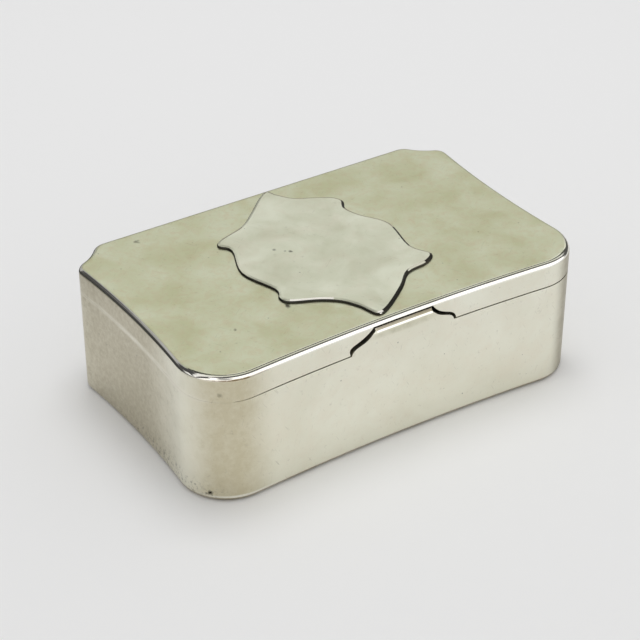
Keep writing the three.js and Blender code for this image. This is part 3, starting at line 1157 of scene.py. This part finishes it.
        # The tab's crest under the lid is near black as painted shade
        wall.dress(
            (finishes.side, everywhere), (finishes.inside, inwards), (finishes.inside, self.on_slope),
            (finishes.edge, self.on_lip), (finishes.dark, self.on_crest),
        )
        wall.settle("box", "body_silver", "body_wall")
        bezel = self.build_bezel()
        # The bezel's face behind the tab is near black as painted shade in the gap
        bezel.dress((finishes.inside, everywhere), (finishes.dark, self.behind_tab))
        bezel.settle("box", "body_silver", "body_bezel")


@dataclass
class Lid:
    """Lid of a top sheet and a rim, with its rounded edge, its notch and the raised blank plate."""

    plan: Plan
    seam_shut: float = 0.13
    edge_radius: float = 0.9
    edge_facets: int = 10
    soft_edge: float = 0.09
    soft_facets: int = 2
    # How far a normal points up where the rounded edge turns bright, and where it turns into the lid
    edge_tilt: float = 0.3
    lid_tilt: float = 0.88
    # The front of that turn is burnished as far as the flat
    flat_tilt: float = 0.999
    front_tilt: float = -0.07
    plate_width: float = 26.0
    plate_offset: float = -0.75
    plate_front_margin: float = 0.7
    plate_back_margin: float = 0.1
    plate_slope: float = 0.44
    plate_drop: float = 0.15
    plate_edge: float = 0.14
    plate_flat: float = 0.99
    # How far a normal points left or right on the slopes that are light, and on those that are dark,
    # which are near black as painted shade
    light_side: float = -0.05
    dark_side: float = 0.12
    # The plate's edges that face this way, left of the last place, take a painted highlight, and those behind
    # take painted shade
    highlight_side: tuple[float, float, float] = (-0.55, -0.84, 0.0)
    highlight_facing: float = 0.1
    shade_facing: float = -0.15
    highlight_tilt: float = 0.55
    highlight_aside: tuple[float, float] = (-0.2, 0.1)
    highlight_to: float = 2.0
    curve_steps: int = 5
    plate_knots: Sequence[tuple[float, float]] = (
        (0.18, 1), (0.24, 0.91), (0.36, 0.79), (0.56, 0.71), (0.74, 0.635), (0.815, 0.535), (0.745, 0.42),
        (0.8, 0.275), (0.98, 0.03), (0.895, -0.34), (1, -0.525), (0.835, -0.615), (0.565, -0.65),
        (0.325, -0.8), (-0.035, -0.98), (-0.205, -1), (-0.28, -0.845), (-0.39, -0.71), (-0.57, -0.61),
        (-0.865, -0.51), (-0.92, -0.42), (-0.865, -0.3), (-1, 0.03), (-0.85, 0.355), (-0.93, 0.47),
        (-0.835, 0.545), (-0.505, 0.625), (-0.28, 0.745), (0.03, 0.945),
    )

    def __post_init__(self) -> None:
        """Reads the levels from the frame."""
        self.tab = self.plan.tab
        self.rim_low = level("lid_rim", Corner.LOWEST)
        self.sheet_low = level("lid_top", Corner.LOWEST)
        self.top = level("lid_top", Corner.HIGHEST)
        self.plate_top = level("cartouche_plate", Corner.HIGHEST)

    def notch(self, foot: float) -> Workpiece:
        """Models the tool that cuts the notch: the tab's shape, wider by the gap and worn hollow on the left.

        Args:
            foot: the level of the wall's top edge.

        Returns:
            The tool.
        """
        left, right = [], []
        for step in range(self.tab.notch_steps + 1):
            share = step / self.tab.notch_steps
            x, z = self.tab.flank(share, foot + self.tab.notch_rise, self.sheet_low)
            left.append((-x - self.tab.notch_gap - self.tab.notch_wear * math.sin(math.pi * share), z))
            right.append((x + self.tab.notch_gap * (1 - share / 2), z))
        low = foot - self.tab.notch_drop
        profile = [(left[0][0], low), *left, *reversed(right), (right[0][0], low)]
        path = [(x, -self.plan.depth, z) for x, z in profile]
        tool = Workpiece.point("notch_tool", *path[0])
        tool.trace(path)
        tool.fill()
        tool.extrude(0.0, self.plan.depth / 2 + self.tab.notch_depth, 0.0)
        return tool

    def build_cover(self, relief: Workpiece, foot: float) -> Workpiece:
        """Models the top sheet and the rim as the one smooth shell that they look like.

        Args:
            relief: the tool that clears room for the hinge.
            foot: the level of the wall's top edge.

        Returns:
            The finished cover.
        """
        def softened(a: Vector, b: Vector) -> bool:
            """Test for the rim's lower edges right of where the lid lies tight."""
            return max(a.z, b.z) < self.rim_low + HAIR_MM and min(a.x, b.x) > self.plan.tight_x[0]

        work = self.plan.blank("lid_cover", self.rim_low, self.top)
        work.pick_edges(lambda a, b: min(a.z, b.z) > self.top - HAIR_MM)
        work.bevel(self.edge_radius, self.edge_facets)
        work.pick_faces(lambda middle, normal: normal.z < -FACING)
        work.inset(self.plan.wall)
        work.extrude(0.0, 0.0, self.sheet_low - self.rim_low)
        work.true_up()
        work.pick_edges(softened, sharp=CORNER)
        work.bevel(self.soft_edge, self.soft_facets)
        work.move_points(self.shut_seam)
        work.work_with(self.notch(foot), Joint.CUT)
        work.work_with(relief, Joint.CUT)
        work.finish()
        return work

    def shut_seam(self, point: Vector) -> Vector:
        """Lowers the rim's edge at the left end, where the lid lies tight on the wall.

        Args:
            point: a point of the cover.

        Returns:
            Its new place, which is the old one above the rim's edge.
        """
        if point.z > self.rim_low + self.soft_edge + HAIR_MM:
            return point
        shut, wide = self.plan.tight_x
        share = min(1.0, max(0.0, (wide - point.x) / (wide - shut)))
        return Vector((point.x, point.y, point.z - self.seam_shut * share))

    def plate_outline(self) -> list[tuple[float, float]]:
        """Draws the raised plate's outline as a closed smooth curve through its knots.

        Returns:
            The outline's points, clockwise.
        """
        front = self.plan.front_y + self.edge_radius + self.plate_front_margin
        back = self.plan.depth / 2 - self.edge_radius - self.plate_back_margin
        middle, reach = (front + back) / 2, (back - front) / 2
        half = self.plate_width / 2
        knots = [Vector((self.plate_offset + x * half, middle + y * reach)) for x, y in self.plate_knots]
        points = []
        for number, here in enumerate(knots):
            before, there, after = (knots[(number + step) % len(knots)] for step in (-1, 1, 2))
            for step in range(self.curve_steps):
                points.append(tuple(self.curve(before, here, there, after, step / self.curve_steps)))
        return points

    def curve(self, before: Vector, here: Vector, there: Vector, after: Vector, share: float) -> Vector:
        """A point of the smooth curve between two knots.

        Args:
            before, here, there, after: the knot before, the two knots and the knot after them.
            share: how far from here to there.

        Returns:
            The point.
        """
        start, end = (there - before) / 2, (after - here) / 2
        square, cube = share ** 2, share ** 3
        return (
            here * (2 * cube - 3 * square + 1) + there * (3 * square - 2 * cube)
            + start * (cube - 2 * square + share) + end * (cube - square)
        )

    def build_plate(self) -> Workpiece:
        """Models the raised plate, with the slope filed round its top and its softened edge.

        Returns:
            The finished plate.
        """
        path = [(x, y, self.top) for x, y in self.plate_outline()]
        brink = self.plate_top - self.plate_drop
        work = Workpiece.point("blank_cartouche", *path[0])
        work.trace(path)
        work.fill()
        work.extrude(0.0, 0.0, brink - self.top)
        work.true_up()
        work.pick_faces(lambda middle, normal: normal.z > FACING)
        work.inset(self.plate_slope, self.plate_drop)
        work.mark_border()
        work.pick_edges(lambda a, b: max(abs(a.z - brink), abs(b.z - brink)) < HAIR_MM)
        work.bevel(self.plate_edge, EASED)
        work.finish()
        return work

    def on_edge(self, middle: Vector, normal: Vector) -> bool:
        """Test for the lid's rounded edge, and all above it."""
        return middle.z > self.top - self.edge_radius and normal.z > self.edge_tilt

    def on_top(self, middle: Vector, normal: Vector) -> bool:
        """Test for the lid's top, with the last of its rounded edge."""
        return middle.z > self.top - self.edge_radius and normal.z > self.lid_tilt

    def on_shoulder(self, middle: Vector, normal: Vector) -> bool:
        """Test for the turn from edge to top along the front."""
        return self.on_top(middle, normal) and normal.z < self.flat_tilt and normal.y < self.front_tilt

    def within(self, middle: Vector, normal: Vector) -> bool:
        """Test for the faces that look into the lid."""
        return middle.z < self.sheet_low + HAIR_MM and (normal.z < -FACING or inwards(middle, normal))

    def on_slope(self, middle: Vector, normal: Vector) -> bool:
        """Test for the plate's top and slopes, apart from those that face right."""
        return normal.z > FACING and normal.x < self.dark_side

    def on_plate(self, middle: Vector, normal: Vector) -> bool:
        """Test for the plate's top, with the slope on its left."""
        return normal.z > self.plate_flat or (normal.z > FACING and normal.x < self.light_side)

    def in_painted_shade(self, middle: Vector, normal: Vector) -> bool:
        """Test for the plate's edges at the back and the right, dressed dull grey as painted shade."""
        return normal.dot(Vector(self.highlight_side)) < self.shade_facing

    def painted_bright(self, middle: Vector, normal: Vector) -> bool:
        """Test for the plate's edges towards the front and the left, given the bright mirror as a painted
        highlight.

        Args:
            middle, normal: the face's.

        Returns:
            True on those edges.
        """
        left, right = self.highlight_aside
        found = normal.dot(Vector(self.highlight_side)) > self.highlight_facing and middle.x < self.highlight_to
        return found and normal.z > self.highlight_tilt and left < normal.x < right

    def build(self, finishes: Finishes, relief: Workpiece, foot: float) -> None:
        """Builds and dresses the lid's pieces.

        Args:
            finishes: the box's materials.
            relief: the tool that clears room for the hinge.
            foot: the level of the wall's top edge.
        """
        cover = self.build_cover(relief, foot)
        cover.dress(
            (finishes.side, everywhere), (finishes.edge, self.on_edge), (finishes.lid, self.on_top),
            (finishes.shoulder, self.on_shoulder), (finishes.inside, self.within),
        )
        cover.settle("lid", "lid_silver", "lid_top", "lid_rim")
        plate = self.build_plate()
        # Its sides are near black, and by the way they face its edges take a painted highlight or painted
        # shade
        plate.dress(
            (finishes.dark, everywhere), (finishes.shoulder, self.on_slope), (finishes.plate, self.on_plate),
            (finishes.inside, self.in_painted_shade), (finishes.edge, self.painted_bright),
        )
        plate.settle("lid", "plate_silver", "cartouche_plate")


class Side(Enum):
    """Sides of the seam that a hinge bed lies on."""

    BELOW = -1
    ABOVE = 1


@dataclass
class FlushHinge:
    """Hinge of seven tubes along the back, turn about on the body and on the lid, each in its bed."""

    plan: Plan
    knuckle_count: int = 7
    knuckle_radius: float = 1.3
    knuckle_gap: float = 0.15
    knuckle_edge: float = 0.1
    bore: float = 0.58
    clearance: float = 0.3
    bed_wall: float = 0.6
    bed_foot: float = 2.0
    solder_gap: float = 0.05
    trim_low: float = -1.0
    groove_steps: int = 24
    facets: int = 40

    def __post_init__(self) -> None:
        """Reads the axis from the frame's joint."""
        joint = frame["record"]["behaviour"]["joints"][0]
        self.y, self.z = (share / MM for share in joint["pos_m"][1:])
        self.groove = self.knuckle_radius + self.clearance
        self.span = 2 * (self.plan.length / 2 - self.plan.shoulder_setback + self.plan.shoulder_radius)

    def relief(self) -> Workpiece:
        """Models the tool that clears a round groove for the tubes, with the wall behind it cut away.

        Returns:
            The tool.
        """
        reach = self.plan.length
        tool = Workpiece.point("relief_tool", -reach, self.y, self.z + self.groove)
        tool.arc((-reach, self.y, self.z), math.pi, self.groove_steps, axis=(1, 0, 0))
        tool.extrude(0.0, self.plan.depth, 0.0)
        tool.extrude(0.0, 0.0, 2 * self.groove)
        tool.fill()
        tool.extrude(2 * reach, 0.0, 0.0)
        return tool

    def build_bed(self, name: str, side: Side, far: float) -> Workpiece:
        """Models the strip inside the back that carries the tubes in its groove.

        Args:
            name: the piece's name.
            side: the side of the seam.
            far: how far from the axis its outer face is.

        Returns:
            The finished strip.
        """
        back = self.knuckle_radius - self.plan.wall - self.solder_gap
        front = -self.groove - self.bed_wall
        near = self.plan.seam_gap / 2
        foot = self.bed_foot if side is Side.BELOW else 0.0
        start = math.acos(back / self.groove)
        end = math.pi - math.asin(near / self.groove)
        angles = [start + (end - start) * n / self.groove_steps for n in range(self.groove_steps + 1)]
        profile = [(self.groove * math.cos(a), self.groove * math.sin(a)) for a in angles]
        profile += [(front, near), (front, far - foot), (back, far)]
        path = [(-self.span / 2, self.y + y, self.z + side.value * z) for y, z in profile]
        work = Workpiece.point(name, *path[0])
        work.trace(path)
        work.fill()
        work.extrude(self.span, 0.0, 0.0)
        work.work_with(self.trim_tool(self.plan.wall + self.solder_gap), Joint.TRIM)
        work.finish()
        return work

    def trim_tool(self, inset: float) -> Workpiece:
        """Models the tool that trims a piece to the plan, set in by inset."""
        return self.plan.blank("trim_tool", self.trim_low, self.plan.depth, inset)

    def build_knuckle(self) -> Workpiece:
        """Models one tube at the middle of the hinge, bored and with its end edges eased.

        Returns:
            The finished tube.
        """
        def outer(a: Vector, b: Vector) -> bool:
            """Test for the round edges at the tube's ends."""
            radius = min(math.hypot(p.y - self.y, p.z - self.z) for p in (a, b))
            return abs(a.x - b.x) < HAIR_MM and radius > (self.bore + self.knuckle_radius) / 2

        length = self.span / self.knuckle_count - self.knuckle_gap
        work = Workpiece.rod("hinge_tube", self.knuckle_radius, length, (0.0, self.y, self.z), self.facets)
        work.hollow(self.knuckle_radius - self.bore, Axis.X)
        work.pick_edges(outer, sharp=CORNER)
        work.bevel(self.knuckle_edge, EASED)
        work.finish()
        return work

    def build(self, finishes: Finishes) -> None:
        """Builds and dresses the beds and the tubes, and dresses the pin and its plugs.

        Args:
            finishes: the box's materials.
        """
        beds = (
            ("body_hinge_bed", "box", Side.BELOW, self.z - level("body_hinge_bed", Corner.LOWEST)),
            ("lid_hinge_bed", "lid", Side.ABOVE, level("lid_hinge_bed", Corner.HIGHEST) - self.z),
        )
        for name, body, side, far in beds:
            bed = self.build_bed(name.replace("hinge_bed", "tube_bed"), side, far)
            bed.dress((finishes.hinge, everywhere))
            bed.settle(body, "hinge_silver", name)
        pitch = self.span / self.knuckle_count
        last = self.knuckle_count - 1
        pattern = self.build_knuckle()
        for number in range(self.knuckle_count):
            tube = pattern.copy(f"hinge_tube_{number + 1}", (number - last / 2) * pitch)
            if number in (0, last):
                tube.work_with(self.trim_tool(0.0), Joint.TRIM)
            tube.finish()
            tube.dress((finishes.hinge, everywhere))
            body, owner = ("lid", "lid") if number % 2 else ("box", "body")
            tube.settle(body, "hinge_silver", f"{owner}_knuckle_{number + 1}")
        bpy.data.objects.remove(pattern.obj)
        kept = {"hinge_pin": finishes.pin, "pin_plug_left": finishes.hinge, "pin_plug_right": finishes.hinge}
        for name, finish in kept.items():
            frame["nodes"][name].data.materials.clear()
            frame["nodes"][name].data.materials.append(finish)
            log.info("%s: the CAD solid, dressed", name)


# Studio


@dataclass(frozen=True)
class RoomPatch:
    """A round patch of the room that polished silver mirrors, such as a lamp or a dark corner."""

    way: tuple[float, float, float]
    inner_degrees: float
    outer_degrees: float
    level: float


@dataclass(frozen=True)
class RoomBar:
    """A long bar of the room, along the box's length, that the lid's front edge mirrors as a line.

    Its place is the angle from straight ahead of the box, up and over to the back.
    """

    degrees: float
    half_width: float
    level: float


@dataclass
class Studio:
    """Pale floor, soft light and the camera at the photograph's angle."""

    azimuth: float = -33.034
    elevation: float = 33.512
    distance: float = 296.389
    shift_right: float = -1.056
    shift_up: float = 7.408
    lens: float = 110.12
    clip_start: float = 10.0
    floor_size: float = 6000.0
    floor_colour: str = "#f0f0f0"
    # Colour that mirrored rays alone see on the floor behind the box, a painted reflection of a dark room,
    # with the way and the distances over which it fades in
    floor_mirrored_dark: str = "#3a3b38"
    mirrored_dark_way: tuple[float, float, float] = (-0.35, 0.94, 0.0)
    mirrored_dark_from: tuple[float, float] = (55.0, 80.0)
    floor_roughness: float = 0.9
    floor_shine: float = 0.1
    key_watts: float = 1.13
    key_size: float = 320.0
    key_distance: float = 600.0
    key_azimuth: float = 140.0
    key_elevation: float = 80.0
    fill_light: float = 0.62
    seen_light: float = 0.98
    backdrop_light: float = 0.72
    bars: tuple[RoomBar, ...] = (
        RoomBar(40.0, 26.0, 1.5),
        RoomBar(77.0, 12.0, 0.1),
        RoomBar(120.0, 9.0, 0.12),
        RoomBar(134.0, 5.0, 1.35),
        RoomBar(166.0, 11.0, 0.4),
    )
    # Grey and dark corners of the room, and last a lamp
    patches: tuple[RoomPatch, ...] = (
        RoomPatch((-0.38, 0.75, 0.54), 12.0, 18.0, 0.5),
        RoomPatch((-0.63, 0.51, 0.59), 16.0, 22.0, 0.07),
        RoomPatch((0.97, 0.19, 0.17), 16.0, 26.0, 0.1),
        RoomPatch((-0.71, 0.7, 0.06), 14.0, 20.0, 0.07),
        RoomPatch((-0.36, -0.62, 0.7), 9.0, 17.0, 0.45),
        RoomPatch((-0.51, -0.27, 0.82), 5.0, 9.0, 1.8),
    )

    def axes(self, azimuth: float, elevation: float) -> tuple[Vector, Vector, Vector]:
        """Directions of a viewer's picture.

        Args:
            azimuth, elevation: the viewer's place, in degrees.

        Returns:
            The directions to the right, up and back towards the viewer.
        """
        a, e = math.radians(azimuth), math.radians(elevation)
        right = Vector((math.cos(a), math.sin(a), 0.0))
        up = Vector((-math.sin(a) * math.sin(e), math.cos(a) * math.sin(e), math.cos(e)))
        back = Vector((math.sin(a) * math.cos(e), -math.cos(a) * math.cos(e), math.sin(e)))
        return right, up, back

    def build_camera(self) -> None:
        """Places the camera that was fitted to the photograph."""
        right, up, back = self.axes(self.azimuth, self.elevation)
        place = back * self.distance + right * self.shift_right + up * self.shift_up
        turn = (math.radians(90.0 - self.elevation), 0.0, math.radians(self.azimuth))
        bpy.ops.object.camera_add(location=place * MM, rotation=turn)
        camera = bpy.context.object
        camera.data.lens = self.lens
        camera.data.clip_start = self.clip_start * MM
        bpy.context.scene.camera = camera

    def build_floor(self) -> None:
        """Lays the floor, a matt painted board, dark to mirrored rays behind the box as a painted reflection.
        """
        clear_bench()
        bpy.ops.mesh.primitive_plane_add(size=self.floor_size * MM)
        floor = bpy.context.object
        floor.name = "studio_floor"
        paint = bpy.data.materials.new("matt_white_board")
        paint.use_nodes = True
        tree = paint.node_tree
        shader = tree.nodes["Principled BSDF"]
        coords = add_node(tree, "ShaderNodeTexCoord").outputs["Object"]
        along = add_node(tree, "ShaderNodeVectorMath", {
            0: coords, 1: self.mirrored_dark_way,
        }, operation="DOT_PRODUCT").outputs["Value"]
        far = add_node(tree, "ShaderNodeMapRange", {
            "Value": along, "From Min": self.mirrored_dark_from[0] * MM, "From Max": self.mirrored_dark_from[1] * MM,
        }).outputs["Result"]
        mirrored = add_node(tree, "ShaderNodeLightPath").outputs["Is Glossy Ray"]
        dark = add_node(tree, "ShaderNodeMath", {0: far, 1: mirrored}, operation="MULTIPLY").outputs[0]
        colour = add_node(tree, "ShaderNodeMix", {
            0: dark, 6: linear(self.floor_colour), 7: linear(self.floor_mirrored_dark),
        }, data_type="RGBA").outputs[2]
        tree.links.new(colour, shader.inputs["Base Color"])
        shader.inputs["Roughness"].default_value = self.floor_roughness
        shader.inputs["Specular IOR Level"].default_value = self.floor_shine
        floor.data.materials.append(paint)

    def build_key(self) -> None:
        """Hangs one soft box almost overhead, a little behind the box, which silver doesn't mirror."""
        back = self.axes(self.key_azimuth, self.key_elevation)[2]
        turn = (math.radians(90.0 - self.key_elevation), 0.0, math.radians(self.key_azimuth))
        bpy.ops.object.light_add(type="AREA", location=back * self.key_distance * MM, rotation=turn)
        key = bpy.context.object
        key.name = "soft_box"
        key.data.shape = "SQUARE"
        key.data.size = self.key_size * MM
        key.data.energy = self.key_watts
        key.visible_glossy = False

    def mirrored_room(self, tree: bpy.types.NodeTree) -> bpy.types.NodeSocket:
        """Lays out the room that polished silver mirrors: pale, with dark corners, a lamp and long bars.

        Args:
            tree: the world's node tree.

        Returns:
            The socket with the room's brightness in each direction.
        """
        way = add_node(tree, "ShaderNodeTexCoord").outputs["Generated"]
        parts = add_node(tree, "ShaderNodeSeparateXYZ", {"Vector": way}).outputs
        front = add_node(tree, "ShaderNodeMath", {0: parts["Y"], 1: -1.0}, operation="MULTIPLY").outputs[0]
        tilt = add_node(tree, "ShaderNodeMath", {0: parts["Z"], 1: front}, operation="ARCTAN2").outputs[0]
        room: Any = self.seen_light
        for bar in self.bars:
            share = add_node(tree, "ShaderNodeMath", {
                0: tilt, 1: math.radians(bar.degrees), 2: math.radians(bar.half_width),
            }, operation="COMPARE").outputs[0]
            room = add_node(tree, "ShaderNodeMix", {0: share, 2: room, 3: bar.level}).outputs[0]
        for patch in self.patches:
            near = add_node(tree, "ShaderNodeVectorMath", {
                0: way, 1: Vector(patch.way).normalized(),
            }, operation="DOT_PRODUCT").outputs["Value"]
            share = add_node(tree, "ShaderNodeMapRange", {
                "Value": near, "From Min": math.cos(math.radians(patch.outer_degrees)),
                "From Max": math.cos(math.radians(patch.inner_degrees)),
            }).outputs["Result"]
            room = add_node(tree, "ShaderNodeMix", {0: share, 2: room, 3: patch.level}).outputs[0]
        return room

    def build_room(self) -> None:
        """Sets the room's even light, the pale backdrop for the camera and the room that silver mirrors."""
        world = bpy.data.worlds.new("plain_room")
        bpy.context.scene.world = world
        world.use_nodes = True
        tree = world.node_tree
        path = add_node(tree, "ShaderNodeLightPath")
        strength = add_node(tree, "ShaderNodeMix", {
            0: path.outputs["Is Glossy Ray"], 2: self.fill_light, 3: self.mirrored_room(tree),
        }).outputs[0]
        strength = add_node(tree, "ShaderNodeMix", {
            0: path.outputs["Is Camera Ray"], 2: strength, 3: self.backdrop_light,
        }).outputs[0]
        tree.links.new(strength, tree.nodes["Background"].inputs["Strength"])
        tree.nodes["Background"].inputs["Color"].default_value = (1.0, 1.0, 1.0, 1.0)
        bpy.context.scene.view_settings.view_transform = "Standard"

    def build(self) -> None:
        """Builds the camera, the floor and the lights."""
        clear_bench()
        self.build_camera()
        self.build_floor()
        self.build_key()
        self.build_room()
        log.info("studio: camera, floor and lights")


def main() -> None:
    """Builds the snuff box piece by piece, then the studio."""
    logging.basicConfig(level=logging.INFO, format="%(name)s %(message)s")
    plan = Plan()
    body, lid, hinge = Body(plan), Lid(plan), FlushHinge(plan)
    finishes = build_finishes(lid.top, lid.plate_top)
    body.build(finishes, hinge.relief())
    lid.build(finishes, hinge.relief(), body.wall_top)
    hinge.build(finishes)
    Studio().build()
    bpy.context.view_layer.update()


if __name__ == "__main__":
    main()
